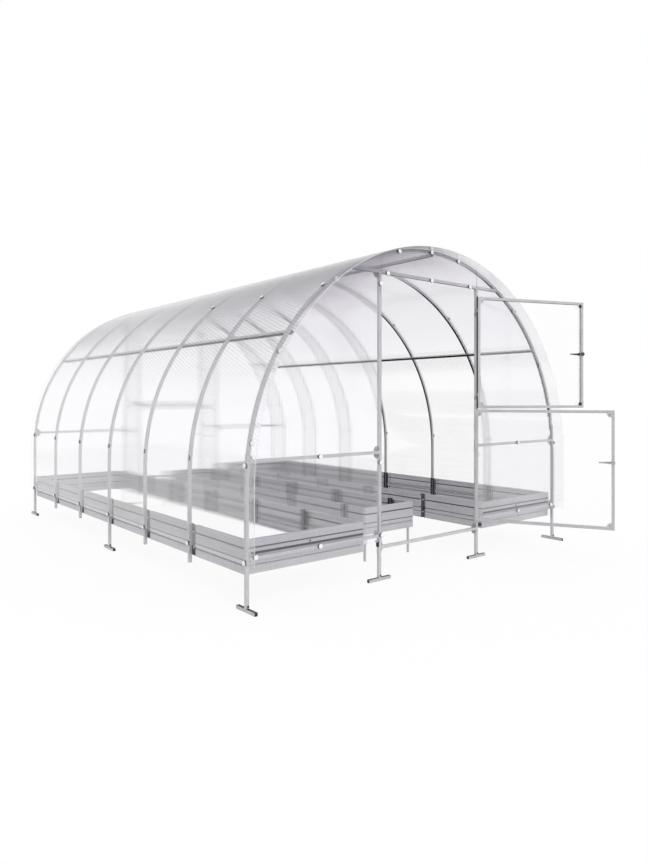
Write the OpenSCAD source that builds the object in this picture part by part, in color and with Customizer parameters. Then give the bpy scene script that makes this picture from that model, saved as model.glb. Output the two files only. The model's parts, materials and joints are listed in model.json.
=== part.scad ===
// Barrel greenhouse: square steel hoops under bent polycarbonate sheet, with a two-leaf door and raised beds.
// X runs across the front from the left leg, Y runs to the back, Z is up from the underside of the feet.

/* [House] */
// Width between the centre lines of the left and right legs
width = 3000; // [2400:50:3400]
// Length between the centre lines of the first and last hoop
length = 4000; // [3600:100:6000]
// Height where the upright legs turn into the half circle
spring_z = 695; // [600:5:800]
// Height of the cut ends of the hoops that have no foot
stub_z = 150; // [100:5:190]

/* [Tube] */
// Outside size of the square steel tube
tube = 20; // [16:1:25]
// Wall of the square steel tube
tube_wall = 1.5; // [1:0.1:2]
// Length of the bar of each T foot
foot_length = 190; // [140:5:260]

/* [Gable] */
// Distance between the centre lines of the door posts
door_posts = 990; // [940:10:1060]
// Drop from the ridge line down to the rail over the door
top_rail_drop = 194; // [160:2:240]
// Height of the rails beside the door
mid_rail_z = 831; // [760:1:900]
// Height of the rails along the foot of the gable
base_rail_z = 292; // [275:1:310]
// Height of the rail under the door
threshold_z = 215; // [205:1:235]
// Length of each arm of the pressed clamps at the joints
clamp_arm = 34; // [26:1:45]
// Thickness of the clamps and gusset plates
plate = 2; // [1.5:0.5:3]

/* [Sheet] */
// Thickness of the polycarbonate
sheet = 4; // [3:0.5:8]
// How far the bent sheets stand past the gables
overhang = 100; // [60:5:120]
// Height of the lower edge of the gable sheets
sheet_low_z = 255; // [245:1:262]
// Height of the lower edge of the bent sheets
bent_low_z = 264; // [245:1:275]
// Gap between two sheets that meet
sheet_joint = 2; // [1:0.5:4]

/* [Door] */
// Gap between a leaf and the post that carries it
hinge_gap = 7.5; // [7:0.5:12]
// Gap between a leaf and the post it latches on
latch_gap = 17.5; // [10:0.5:25]
// Gap between the threshold rail and the lower leaf
threshold_gap = 55; // [30:1:60]
// Height of the lower leaf
lower_leaf_height = 818; // [740:1:830]
// Gap between the two leaves
leaf_split = 8; // [6:1:30]
// Gap between the upper leaf and the rail over the door
top_gap = 64; // [50:1:90]
// How far the lower leaf stands open
lower_open = 118; // [100:1:125]
// How far the upper leaf stands open
upper_open = 160; // [140:1:162]
// Height of the lower latch over the lower edge of its leaf
lower_latch_up = 458; // [350:1:500]
// Height of the upper latch over the lower edge of its leaf
upper_latch_up = 419; // [350:1:500]
// Length of the outer lever of a latch from its spindle
lever_length = 92; // [70:2:110]
// Length of the inner tongue of a latch from its spindle
tongue_length = 40; // [36:1:60]

/* [Beds] */
// Height of the underside of the beds
bed_z = 196; // [190:1:212]
// Height of one bed board
board_height = 97; // [90:1:105]
// Depth of a folded bed board
board_depth = 20; // [14:1:24]
// Wall of a folded bed board
board_wall = 1.5; // [1:0.5:2]
// Width of the side beds
side_bed_width = 885; // [700:5:900]
// Width of the bed in the middle
centre_bed_width = 500; // [400:10:560]
// Distance from the gables to the ends of the bed in the middle
centre_bed_inset = 410; // [300:10:600]

/* [Hidden] */

$fn = 96;
// corners of the circles of the hoops
hoop_fn = 360;
steel = "gainsboro";
dark_steel = "dimgray";
board_colour = "thistle";
clear_sheet = [0.86, 0.85, 0.9, 0.4];

bays = 6;
half = tube / 2;
mid_x = width / 2;
arch_r = width / 2;
bay = length / bays;
left_post_x = mid_x - door_posts / 2;
right_post_x = mid_x + door_posts / 2;
// clearance where a flat or bent piece seats on a curved one
seat = 0.3;
// overrun of every cut
cut = 1;
purlin_angle = 54;
purlin_r = arch_r - tube - seat;
sheet_edge = 2;

ridge_z = spring_z + arch_r;
top_rail_z = ridge_z - top_rail_drop;
leaf_width = door_posts - tube - hinge_gap - latch_gap;
lower_leaf_z = threshold_z + half + threshold_gap;
upper_leaf_z = lower_leaf_z + lower_leaf_height + leaf_split;
upper_leaf_height = top_rail_z - half - top_gap - upper_leaf_z;
// each leaf: height of its lower edge, its own height, height of its latch on it, angle it stands open
lower = [lower_leaf_z, lower_leaf_height, lower_latch_up, lower_open];
upper = [upper_leaf_z, upper_leaf_height, upper_latch_up, upper_open];
// how far the hinge axis stands inside the edge of the leaf
hinge_set = 4.5;
hinge_x = right_post_x - half - hinge_gap - hinge_set;
knuckle_r = 5;
knuckle_height = 24;
pin_r = 2.5;
running = 0.08;
// clearance between the hinge knuckles and the sheet of the door
knuckle_gap = 2;
hinge_y = -half - sheet - knuckle_gap - knuckle_r;
hinge_plate = 2.5;
hinge_inset = 90;
shaft_r = 4;
lever_height = 16;
lever_tip = 8;
lever_thick = 5;
boss_r = 14;
// quarter-round lobes in the corners of the clamps and of the door leaves
lobe_r = 30;
// clearance between the levers and what they turn over
lever_gap = 5.5;

bed_front = 32;
bed_height = 2 * board_height + 1;
groove = 5;
lip = 8;
bracket_width = 58;
bracket_recess = 5;
bracket_groove = 6;
stake = 14;

// Area enclosed by a hoop whose line is moved outwards by grow, down to the height low
module barrel_area(grow, low) {
    translate([-grow, low])
        square([width + 2 * grow, spring_z - low]);
    intersection() {
        translate([mid_x, spring_z])
            circle(r = arch_r + grow, $fn = hoop_fn);
        translate([-grow, spring_z - cut])
            square([width + 2 * grow, arch_r + grow + 2 * cut]);
    }
}

// Band between two hoop lines
module barrel_band(outer, inner, low) {
    difference() {
        barrel_area(outer, low);
        barrel_area(inner, low - cut);
    }
}

// Stands a drawing up across the house, from front to front + depth
module across(front, depth) {
    translate([0, front + depth, 0])
        rotate([90, 0, 0])
            linear_extrude(depth)
                children();
}

// Square tube that stands on the origin
module tube_z(long) {
    difference() {
        translate([-half, -half, 0])
            cube([tube, tube, long]);
        translate([-half + tube_wall, -half + tube_wall, -cut])
            cube([tube - 2 * tube_wall, tube - 2 * tube_wall, long + 2 * cut]);
    }
}

module tube_x(long) {
    rotate([0, 90, 0])
        tube_z(long);
}

module tube_y(long) {
    rotate([-90, 0, 0])
        tube_z(long);
}

// One hoop: two legs and a half circle of the same tube
module hoop(number, low) {
    middle = (number - 1) * bay;
    color(steel)
        difference() {
            across(middle - half, tube)
                barrel_band(half, -half, low);
            across(middle - half + tube_wall, tube - 2 * tube_wall)
                barrel_band(half - tube_wall, tube_wall - half, low - cut);
        }
}

module arch_1() hoop(1, tube);
module arch_2() hoop(2, stub_z);
module arch_3() hoop(3, stub_z);
module arch_4() hoop(4, tube);
module arch_5() hoop(5, stub_z);
module arch_6() hoop(6, stub_z);
module arch_7() hoop(7, tube);

// A purlin under the hoops, turned by angle from the ridge
module purlin(angle) {
    color(steel)
        translate([mid_x, -half, spring_z])
            rotate([0, angle, 0])
                translate([0, 0, purlin_r])
                    tube_y(length + tube);
}

module ridge_purlin() purlin(0);
module left_purlin() purlin(-purlin_angle);
module right_purlin() purlin(purlin_angle);

// The feet of one side wall, along Y under the first, middle and last hoop
module side_feet(x) {
    color(steel)
        for (number = [0, bays / 2, bays])
            translate([x, number * bay - foot_length / 2, half])
                tube_y(foot_length);
}

module left_feet() side_feet(0);
module right_feet() side_feet(width);

module post_feet(y) {
    color(steel)
        for (x = [left_post_x, right_post_x])
            translate([x - foot_length / 2, y, half])
                tube_x(foot_length);
}

module front_post_feet() post_feet(0);
module rear_post_feet() post_feet(length);

// The posts stand on their feet and carry the top rail
module posts(y) {
    color(steel)
        for (x = [left_post_x, right_post_x])
            translate([x, y, tube])
                tube_z(top_rail_z - half - tube);
}

module front_posts() posts(0);
module rear_posts() posts(length);

// A rail in the plane of a gable, coped to the inside of the hoop
module coped_rail(y, z, from, to) {
    color(steel)
        intersection() {
            translate([from, y, z])
                tube_x(to - from);
            across(y - tube, 2 * tube)
                barrel_area(-half - seat, 0);
        }
}

module front_top_rail() coped_rail(0, top_rail_z, 0, width);
module rear_top_rail() coped_rail(length, top_rail_z, 0, width);

// Two rails between the hoop and the door posts
module side_rails(y, z) {
    coped_rail(y, z, 0, left_post_x - half);
    coped_rail(y, z, right_post_x + half, width);
}

module gable_rails(y) {
    side_rails(y, mid_rail_z);
    side_rails(y, base_rail_z);
}

module front_side_rails() gable_rails(0);
module rear_side_rails() gable_rails(length);

module threshold(y) {
    color(steel)
        translate([left_post_x + half, y, threshold_z])
            tube_x(door_posts - tube);
}

module front_threshold() threshold(0);
module rear_threshold() threshold(length);

// Drawing of a pressed clamp: a strip up the post, an arm along the rail and a lobe in both corners
module clamp_shape(up, down, side) {
    translate([-half, -down - half])
        square([tube, up + down + tube]);
    scale([side, 1])
        translate([0, -half])
            square([half + clamp_arm, tube]);
    for (way = [-1, 1])
        if ((way > 0 ? up : down) > 0)
            scale([side, way])
                translate([half, half])
                    clamp_corner();
}

// Quarter-round lobe that fills the corner between two arms of a clamp
module clamp_corner() {
    intersection() {
        circle(r = lobe_r);
        translate([-cut, -cut])
            square(lobe_r + 2 * cut);
    }
}

// One clamp plate on the inner face of the gable frame, kept inside the outer line of the hoop
module clamp(x, y, z, side, facing) {
    front = facing > 0 ? half : -half - plate;
    across(y + front, plate)
        intersection() {
            barrel_area(half, 0);
            translate([x, z])
                clamp_shape(clamp_arm, clamp_arm, side);
        }
}

// The clamps of one gable; facing is 1 on the front and -1 on the rear
module gable_clamps(y, facing) {
    leg_lean = arch_r - sqrt(pow(arch_r, 2) - pow(mid_rail_z - spring_z, 2));
    color(steel) {
        for (z = [mid_rail_z, base_rail_z]) {
            lean = z > spring_z ? leg_lean : 0;
            clamp(lean, y, z, 1, facing);
            clamp(width - lean, y, z, -1, facing);
        }
        clamp(left_post_x, y, mid_rail_z, -1, facing);
        clamp(right_post_x, y, mid_rail_z, 1, facing);
        post_clamp(left_post_x, y, 1, facing);
        post_clamp(right_post_x, y, -1, facing);
    }
}

// The clamp under the rail over the door, and the long one that holds the base rail and the threshold
module post_clamp(x, y, inward, facing) {
    front = facing > 0 ? half : -half - plate;
    across(y + front, plate) {
        translate([x, top_rail_z])
            clamp_shape(0, clamp_arm, -inward);
        translate([x, base_rail_z])
            clamp_shape(clamp_arm, 0, -inward);
        translate([x, threshold_z])
            clamp_shape(base_rail_z - threshold_z, clamp_arm, inward);
    }
}

module front_clamps() gable_clamps(0, 1);
module rear_clamps() gable_clamps(length, -1);

// A bent sheet over the hoops from one end to the other
module bent_sheet(from, to) {
    color(clear_sheet)
        across(from, to - from)
            barrel_band(half + seat + sheet, half + seat, bent_low_z);
}

module roof_sheet_front() bent_sheet(-overhang, length / 2 - sheet_joint / 2);
module roof_sheet_rear() bent_sheet(length / 2 + sheet_joint / 2, length + overhang);

// A flat gable sheet between two heights and two widths, cut to the curve of the hoop
module gable_sheet(y, from, to, low, high) {
    front = y == 0 ? -half - sheet : y + half;
    color(clear_sheet)
        across(front, sheet)
            intersection() {
                barrel_area(half - sheet_edge, sheet_low_z);
                translate([from, low])
                    square([to - from, high - low]);
            }
}

module gable_left(y) {
    gable_sheet(y, 0 - tube, left_post_x + half - sheet_edge / 2, sheet_low_z, spring_z + 2 * arch_r);
}

module gable_right(y) {
    gable_sheet(y, right_post_x - half + sheet_edge / 2, width + tube, sheet_low_z, spring_z + 2 * arch_r);
}

module gable_top(y) {
    inner_left = left_post_x + half - sheet_edge / 2 + sheet_joint;
    inner_right = right_post_x - half + sheet_edge / 2 - sheet_joint;
    gable_sheet(y, inner_left, inner_right, top_rail_z - half, spring_z + 2 * arch_r);
}

module front_left_sheet() gable_left(0);
module front_right_sheet() gable_right(0);
module front_top_sheet() gable_top(0);

module rear_gable_sheets() {
    gable_left(length);
    gable_right(length);
    gable_top(length);
}

// Frame of a door leaf with its lower hinge-side corner at the origin, reaching along -X
module leaf_bars(high, size, past) {
    thin = size / 2;
    for (x = [-half, half - leaf_width])
        translate([x - thin, -thin, -past])
            cube([size, size, high + 2 * past]);
    for (z = [half, high - half])
        translate([half - leaf_width, -thin, z - thin])
            cube([leaf_width - tube, size, size]);
}

// Corner plates on the inner face, each with a quarter-round lobe in the corner of two bars
module corner_plates(high) {
    for (side = [0, 1], top = [0, 1])
        translate([side * -leaf_width, 0, top * high])
            across(half, plate)
                scale([side > 0 ? 1 : -1, top > 0 ? -1 : 1]) {
                    square([tube + lobe_r, tube]);
                    square([tube, tube + lobe_r]);
                    intersection() {
                        translate([tube, tube])
                            circle(r = lobe_r);
                        translate([tube - cut, tube - cut])
                            square(lobe_r + 2 * cut);
                    }
                }
}

// Hole for the latch spindle, at a height on the free stile
module spindle_hole(latch) {
    translate([half - leaf_width, tube, latch])
        rotate([90, 0, 0])
            cylinder(r = shaft_r + running, h = 2 * tube);
}

module leaf_frame(leaf) {
    high = leaf[1];
    color(steel)
        difference() {
            union() {
                leaf_bars(high, tube, 0);
                corner_plates(high);
            }
            leaf_bars(high, tube - 2 * tube_wall, cut);
            spindle_hole(leaf[2]);
        }
}

module leaf_sheet(leaf) {
    high = leaf[1];
    color(clear_sheet)
        difference() {
            translate([sheet_edge / 2 - leaf_width, -half - sheet, sheet_edge / 2])
                cube([leaf_width - sheet_edge, sheet, high - sheet_edge]);
            spindle_hole(leaf[2]);
        }
}

// Turning latch: a spindle through the stile, a lever outside and a tongue inside
module leaf_latch(leaf) {
    outer = half + sheet + lever_gap;
    inner = half + lever_gap;
    color(dark_steel)
        translate([half - leaf_width, 0, leaf[2]])
            rotate([90, 0, 0]) {
                translate([0, 0, -inner])
                    cylinder(r = shaft_r, h = outer + inner);
                translate([0, 0, outer])
                    lever(lever_length);
                translate([0, 0, -inner - lever_thick])
                    lever(tongue_length);
            }
}

// Flat lever with a round boss and a slight taper to its square tip
module lever(long) {
    tip = lever_tip / 2;
    linear_extrude(lever_thick) {
        circle(r = boss_r);
        polygon([
            [0, -lever_height / 2],
            [long, -tip],
            [long, tip],
            [0, lever_height / 2],
        ]);
    }
}

// Heights of the two hinges of a leaf
function hinge_heights(leaf) = [hinge_inset, leaf[1] - hinge_inset - knuckle_height];

// Leaf half of the hinges: a bored knuckle on a plate along the stile; the corner of the leaf is the origin
module leaf_hinges(leaf) {
    color(steel)
        for (z = hinge_heights(leaf))
            translate([0, hinge_y, z])
                difference() {
                    union() {
                        translate([-hinge_set, 0, 0])
                            cylinder(r = knuckle_r, h = knuckle_height);
                        translate([-hinge_set, -hinge_plate / 2, 0])
                            cube([hinge_set + hinge_plate, hinge_plate, knuckle_height]);
                        translate([0, -hinge_plate / 2, 0])
                            cube([hinge_plate, half - hinge_y, knuckle_height]);
                    }
                    translate([-hinge_set, 0, -cut])
                        cylinder(r = pin_r + running, h = knuckle_height + 2 * cut);
                }
}

// Post half of the hinges: a lower knuckle with the pin that carries the leaf
module post_hinge_pair(leaf) {
    reach = hinge_gap + hinge_set;
    for (z = hinge_heights(leaf))
        translate([hinge_x, hinge_y, leaf[0] + z - seat - knuckle_height]) {
            cylinder(r = knuckle_r, h = knuckle_height);
            cylinder(r = pin_r, h = 2 * knuckle_height + seat);
            translate([0, -hinge_plate / 2, 0])
                cube([reach, hinge_plate, knuckle_height]);
            translate([reach - hinge_plate, -hinge_plate / 2, 0])
                cube([hinge_plate, half - hinge_y, knuckle_height]);
        }
}

module post_hinges() {
    color(steel) {
        post_hinge_pair(lower);
        post_hinge_pair(upper);
    }
}

// Places a leaf in the front door, swung open about its hinge axis
module hung(leaf) {
    translate([hinge_x, hinge_y, leaf[0]])
        rotate([0, 0, leaf[3]])
            translate([hinge_set, -hinge_y, 0])
                children();
}

module lower_leaf_frame() hung(lower) leaf_frame(lower);
module lower_leaf_sheet() hung(lower) leaf_sheet(lower);
module lower_leaf_hinges() hung(lower) leaf_hinges(lower);
module lower_latch() hung(lower) leaf_latch(lower);
module upper_leaf_frame() hung(upper) leaf_frame(upper);
module upper_leaf_sheet() hung(upper) leaf_sheet(upper);
module upper_leaf_hinges() hung(upper) leaf_hinges(upper);
module upper_latch() hung(upper) leaf_latch(upper);

// Turns a front piece round to the rear gable
module turned() {
    translate([width, length, 0])
        rotate([0, 0, 180])
            children();
}

// Places a leaf in the rear door, shut
module shut(leaf) {
    turned()
        translate([hinge_x + hinge_set, 0, leaf[0]])
            children();
}

module rear_leaf_frames() {
    for (leaf = [lower, upper])
        shut(leaf) leaf_frame(leaf);
}

module rear_leaf_sheets() {
    for (leaf = [lower, upper])
        shut(leaf) leaf_sheet(leaf);
}

module rear_latches() {
    for (leaf = [lower, upper])
        shut(leaf) leaf_latch(leaf);
}

module rear_hinges() {
    turned() post_hinges();
    for (leaf = [lower, upper])
        shut(leaf) leaf_hinges(leaf);
}

// Section of a folded bed board: face with a pressed groove on the left, two returned flanges on the right
module board_section() {
    mid = board_height / 2;
    deep = board_depth;
    wall = board_wall;
    polygon([
        [0, 0], [0, mid - groove], [groove, mid], [0, mid + groove], [0, board_height],
        [deep, board_height], [deep, board_height - lip], [deep - wall, board_height - lip],
        [deep - wall, board_height - wall], [wall, board_height - wall],
        [wall, mid + groove + wall / 2], [groove + wall, mid], [wall, mid - groove - wall / 2],
        [wall, wall], [deep - wall, wall], [deep - wall, lip], [deep, lip], [deep, 0],
    ]);
}

// Two boards, one on the other, along +Y with their faces towards -X
module boards(long) {
    for (row = [0, 1])
        translate([0, long, bed_z + row * (board_height + 1)])
            rotate([90, 0, 0])
                linear_extrude(long)
                    board_section();
}

// One long side of a bed, facing -X, with a gap for a bracket before each inner hoop
module board_run(from, to) {
    inner = [for (number = [1:bays - 1]) number * bay];
    stops = [for (y = inner) if (y > from + bay / 4 && y < to - bay / 4) y];
    starts = concat([from], stops);
    ends = concat([for (stop = stops) stop - bracket_width], [to]);
    for (i = [0:len(starts) - 1])
        translate([0, starts[i], 0])
            boards(ends[i] - starts[i]);
}

// A whole bed between two widths and two lengths
module bed(left, right, from, to) {
    end_long = right - left - 2 * (board_depth + seat);
    end_right = right - board_depth - seat;
    color(board_colour) {
        translate([left, 0, 0])
            board_run(from, to);
        translate([right, 0, 0])
            mirror([1, 0, 0])
                board_run(from, to);
        translate([end_right, from, 0])
            rotate([0, 0, 90])
                boards(end_long);
        translate([end_right, to, 0])
            mirror([0, 1, 0])
                rotate([0, 0, 90])
                    boards(end_long);
    }
}

bed_left = half;
bed_right = width - half;
centre_left = mid_x - centre_bed_width / 2;
centre_right = mid_x + centre_bed_width / 2;

module left_bed() bed(bed_left, bed_left + side_bed_width, bed_front, length - bed_front);
module right_bed() bed(bed_right - side_bed_width, bed_right, bed_front, length - bed_front);
module centre_bed() bed(centre_left, centre_right, centre_bed_inset, length - centre_bed_inset);

// Section of a pressed bracket: a face set back from the boards, a groove down its middle and two flanges
module bracket_section() {
    long = bracket_width - 2 * seat;
    mid = long / 2;
    face = bracket_recess;
    back = face + board_wall;
    deep = bracket_groove;
    polygon([
        [face, 0], [face, mid - deep], [face + deep, mid], [face, mid + deep], [face, long],
        [board_depth, long], [board_depth, long - board_wall], [back, long - board_wall],
        [back, mid + deep + board_wall / 2], [back + deep, mid], [back, mid - deep - board_wall / 2],
        [back, board_wall], [board_depth, board_wall], [board_depth, 0],
    ]);
}

// Brackets that join the boards of one long side
module bracket_run(x, side) {
    color(dark_steel)
        for (number = [1:bays - 1])
            translate([x, number * bay - bracket_width + seat, bed_z])
                scale([side, 1, 1])
                    linear_extrude(bed_height)
                        bracket_section();
}

module left_bed_brackets() {
    bracket_run(bed_left, 1);
    bracket_run(bed_left + side_bed_width, -1);
}

module right_bed_brackets() {
    bracket_run(bed_right, -1);
    bracket_run(bed_right - side_bed_width, 1);
}

module centre_bed_brackets() {
    bracket_run(centre_left, 1);
    bracket_run(centre_right, -1);
}

// Stakes in the corners that carry the bed in the middle
module centre_bed_stakes() {
    color(dark_steel)
        for (x = [centre_left + board_depth, centre_right - board_depth - stake])
            for (y = [centre_bed_inset + board_depth, length - centre_bed_inset - board_depth - stake])
                translate([x, y, 0])
                    cube([stake, stake, bed_z + bed_height]);
}

arch_1();
arch_2();
arch_3();
arch_4();
arch_5();
arch_6();
arch_7();
ridge_purlin();
left_purlin();
right_purlin();
left_feet();
right_feet();
front_post_feet();
rear_post_feet();
front_posts();
rear_posts();
front_top_rail();
rear_top_rail();
front_side_rails();
rear_side_rails();
front_threshold();
rear_threshold();
front_clamps();
rear_clamps();
roof_sheet_front();
roof_sheet_rear();
front_left_sheet();
front_right_sheet();
front_top_sheet();
rear_gable_sheets();
rear_leaf_frames();
rear_leaf_sheets();
rear_latches();
rear_hinges();
left_bed();
centre_bed();
right_bed();
left_bed_brackets();
right_bed_brackets();
centre_bed_brackets();
centre_bed_stakes();
post_hinges();
lower_leaf_frame();
lower_leaf_sheet();
lower_leaf_hinges();
lower_latch();
upper_leaf_frame();
upper_leaf_sheet();
upper_leaf_hinges();
upper_latch();
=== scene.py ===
import json
import math

import bmesh
import bpy
from mathutils import Matrix, Vector

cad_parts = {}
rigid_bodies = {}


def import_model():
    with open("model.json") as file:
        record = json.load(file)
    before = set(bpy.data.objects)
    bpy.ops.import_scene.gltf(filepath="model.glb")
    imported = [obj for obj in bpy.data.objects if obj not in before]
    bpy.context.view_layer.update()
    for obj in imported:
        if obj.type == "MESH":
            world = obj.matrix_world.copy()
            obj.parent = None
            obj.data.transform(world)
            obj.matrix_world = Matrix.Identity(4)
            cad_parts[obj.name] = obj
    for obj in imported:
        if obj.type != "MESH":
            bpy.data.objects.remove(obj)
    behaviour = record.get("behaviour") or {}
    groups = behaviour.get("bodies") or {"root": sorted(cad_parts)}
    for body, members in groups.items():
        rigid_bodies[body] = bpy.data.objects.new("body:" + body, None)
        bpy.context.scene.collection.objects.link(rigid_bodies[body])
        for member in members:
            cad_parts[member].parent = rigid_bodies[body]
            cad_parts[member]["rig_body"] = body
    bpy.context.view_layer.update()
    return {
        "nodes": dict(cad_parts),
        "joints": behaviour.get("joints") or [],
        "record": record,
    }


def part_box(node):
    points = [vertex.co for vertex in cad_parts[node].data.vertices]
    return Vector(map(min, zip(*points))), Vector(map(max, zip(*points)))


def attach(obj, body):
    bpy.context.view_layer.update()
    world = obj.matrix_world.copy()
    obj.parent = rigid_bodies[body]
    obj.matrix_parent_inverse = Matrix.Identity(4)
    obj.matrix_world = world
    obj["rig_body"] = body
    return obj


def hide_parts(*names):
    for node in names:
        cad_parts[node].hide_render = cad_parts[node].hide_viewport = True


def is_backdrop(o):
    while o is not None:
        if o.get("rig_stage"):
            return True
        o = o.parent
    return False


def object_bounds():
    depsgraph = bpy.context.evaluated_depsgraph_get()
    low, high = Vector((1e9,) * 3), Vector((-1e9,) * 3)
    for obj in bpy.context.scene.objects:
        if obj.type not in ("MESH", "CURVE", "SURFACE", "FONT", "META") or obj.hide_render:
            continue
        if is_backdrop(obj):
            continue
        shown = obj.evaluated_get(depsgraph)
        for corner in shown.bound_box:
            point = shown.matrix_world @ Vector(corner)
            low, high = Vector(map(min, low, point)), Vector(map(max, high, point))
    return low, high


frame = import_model()
scene = bpy.context.scene
nodes = frame["nodes"]
joints = {j["name"]: j for j in frame["joints"]}

# ---- sizes taken from the frame -------------------------------------------------------------

hoop_low, hoop_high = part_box("arch_1")
tube = hoop_high.y - hoop_low.y
half = tube / 2
centre_x = (hoop_low.x + hoop_high.x) / 2
hoop_outer = (hoop_high.x - hoop_low.x) / 2
spring_z = hoop_high.z - hoop_outer
hoop_y = [(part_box(f"arch_{n}")[0].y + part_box(f"arch_{n}")[1].y) / 2 for n in range(1, 8)]
roof_low, roof_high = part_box("roof_sheet_front")
roof_outer = (roof_high.x - roof_low.x) / 2
front_sheet_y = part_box("front_left_sheet")[0].y
rear_sheet_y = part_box("rear_gable_sheets")[1].y
post_low, post_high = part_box("front_posts")
left_post_x = post_low.x + half
right_post_x = post_high.x - half
door_posts = ((-1, left_post_x), (1, right_post_x))
rail_low, rail_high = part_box("front_side_rails")
base_rail_z = rail_low.z + half
mid_rail_z = rail_high.z - half
top_rail_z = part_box("front_top_rail")[0].z + half
threshold_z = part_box("front_threshold")[0].z + half
front_plate_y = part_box("front_clamps")[1].y
rear_plate_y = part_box("rear_clamps")[0].y

BOARD_GAP = 0.001  # between the lower and the upper board of a bed
SEAM_DROP = 0.0165  # how far the upper board laps down over the lower one
bed_low, bed_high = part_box("left_bed")
board_high = (bed_high.z - bed_low.z - BOARD_GAP) / 2
groove_heights = (bed_low.z + board_high / 2, bed_high.z - board_high / 2)
seam_z = (bed_low.z + bed_high.z) / 2
lap_z = seam_z - SEAM_DROP

# ---- camera ---------------------------------------------------------------------------------

STAND = (-1.971, -3.136, 1.181)
LENS = 27.735
TURN = -0.691
SHIFT = (-0.01115, -0.0391)
camera = bpy.data.objects.new("camera", bpy.data.cameras.new("camera"))
scene.collection.objects.link(camera)
camera.location = STAND
camera.rotation_euler = (math.radians(90), 0, TURN)
camera.data.lens = LENS
camera.data.shift_x, camera.data.shift_y = SHIFT
camera.data.clip_end = 200
scene.camera = camera

# ---- node helpers ---------------------------------------------------------------------------


def paint(code):
    """Linear colour of an sRGB hex code."""
    parts = [int(code[i : i + 2], 16) / 255 for i in (1, 3, 5)]
    return (*(p / 12.92 if p <= 0.04045 else ((p + 0.055) / 1.055) ** 2.4 for p in parts), 1)


def new_material(name):
    material = bpy.data.materials.new(name)
    material.use_nodes = True
    material.node_tree.nodes.clear()
    return material, material.node_tree


def add(tree, kind, *values, output=None, **settings):
    """A node with its settings. Values go to the sockets in use, in order or by name from a dictionary."""
    made = tree.nodes.new(f"ShaderNode{kind}")
    for key, value in settings.items():
        setattr(made, key, value)
    in_use = [socket for socket in made.inputs if socket.enabled]
    pairs = values[0].items() if values and isinstance(values[0], dict) else enumerate(values)
    for key, value in pairs:
        socket = made.inputs[key] if isinstance(key, str) else in_use[key]
        if isinstance(value, bpy.types.NodeSocket):
            tree.links.new(value, socket)
        else:
            socket.default_value = value
    if output:
        return made.outputs[output]
    return next((socket for socket in made.outputs if socket.enabled), None)


def facing(tree, axis):
    """How much a face looks along an axis of its piece, from -1 to 1."""
    return add(tree, "SeparateXYZ", add(tree, "TexCoord", output="Normal"), output=axis)


def from_spring(tree):
    """Where a point lies, seen from the middle between the tops of the legs."""
    point = add(tree, "TexCoord", output="Object")
    return add(tree, "VectorMath", point, (centre_x, 0, spring_z), operation="SUBTRACT")


# ---- metals ---------------------------------------------------------------------------------


def inward_shade(tree):
    """How much painted shade a face of a hoop takes where it looks towards the inside of the barrel, from 0
    to 1.
    """
    spot = from_spring(tree)
    above = add(tree, "Math", add(tree, "SeparateXYZ", spot, output="Z"), 0.0, operation="MAXIMUM")
    spoke = add(tree, "CombineXYZ", {"X": add(tree, "SeparateXYZ", spot, output="X"), "Z": above})
    spoke = add(tree, "VectorMath", spoke, operation="NORMALIZE")
    way = add(tree, "TexCoord", output="Normal")
    outward = add(tree, "VectorMath", spoke, way, operation="DOT_PRODUCT")
    # the legs stand in more light than the vault, and below the beds it comes in from all sides
    height = add(tree, "SeparateXYZ", add(tree, "TexCoord", output="Object"), output="Z")
    vaulted = add(tree, "MapRange", height, spring_z - 0.1, spring_z + 0.5, 0.4, 1.0)
    over_beds = add(tree, "MapRange", height, bed_low.z - 0.03, bed_low.z + 0.01)
    sheltered = add(tree, "Math", vaulted, over_beds, operation="MULTIPLY")
    # and at the crown it comes back from the ground
    turned = add(tree, "MapRange", facing(tree, "Z"), -0.975, -0.9)
    dark = add(tree, "Math", add(tree, "MapRange", outward, -0.3, -0.8), sheltered, operation="MULTIPLY")
    return add(tree, "Math", dark, turned, operation="MULTIPLY")


def downward(tree):
    """How far a face looks down, from 0 to 1."""
    return add(tree, "MapRange", facing(tree, "Z"), -0.25, -0.5)


def upward(tree):
    """How far a face looks up, from 0 to 1."""
    return add(tree, "MapRange", facing(tree, "Z"), 0.75, 0.95)


def sideways(tree):
    """How far a face looks along the beds, as the flanks of a pressed groove do, from 0 to 1."""
    return add(tree, "MapRange", add(tree, "Math", facing(tree, "Y"), operation="ABSOLUTE"), 0.3, 0.6)


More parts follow.
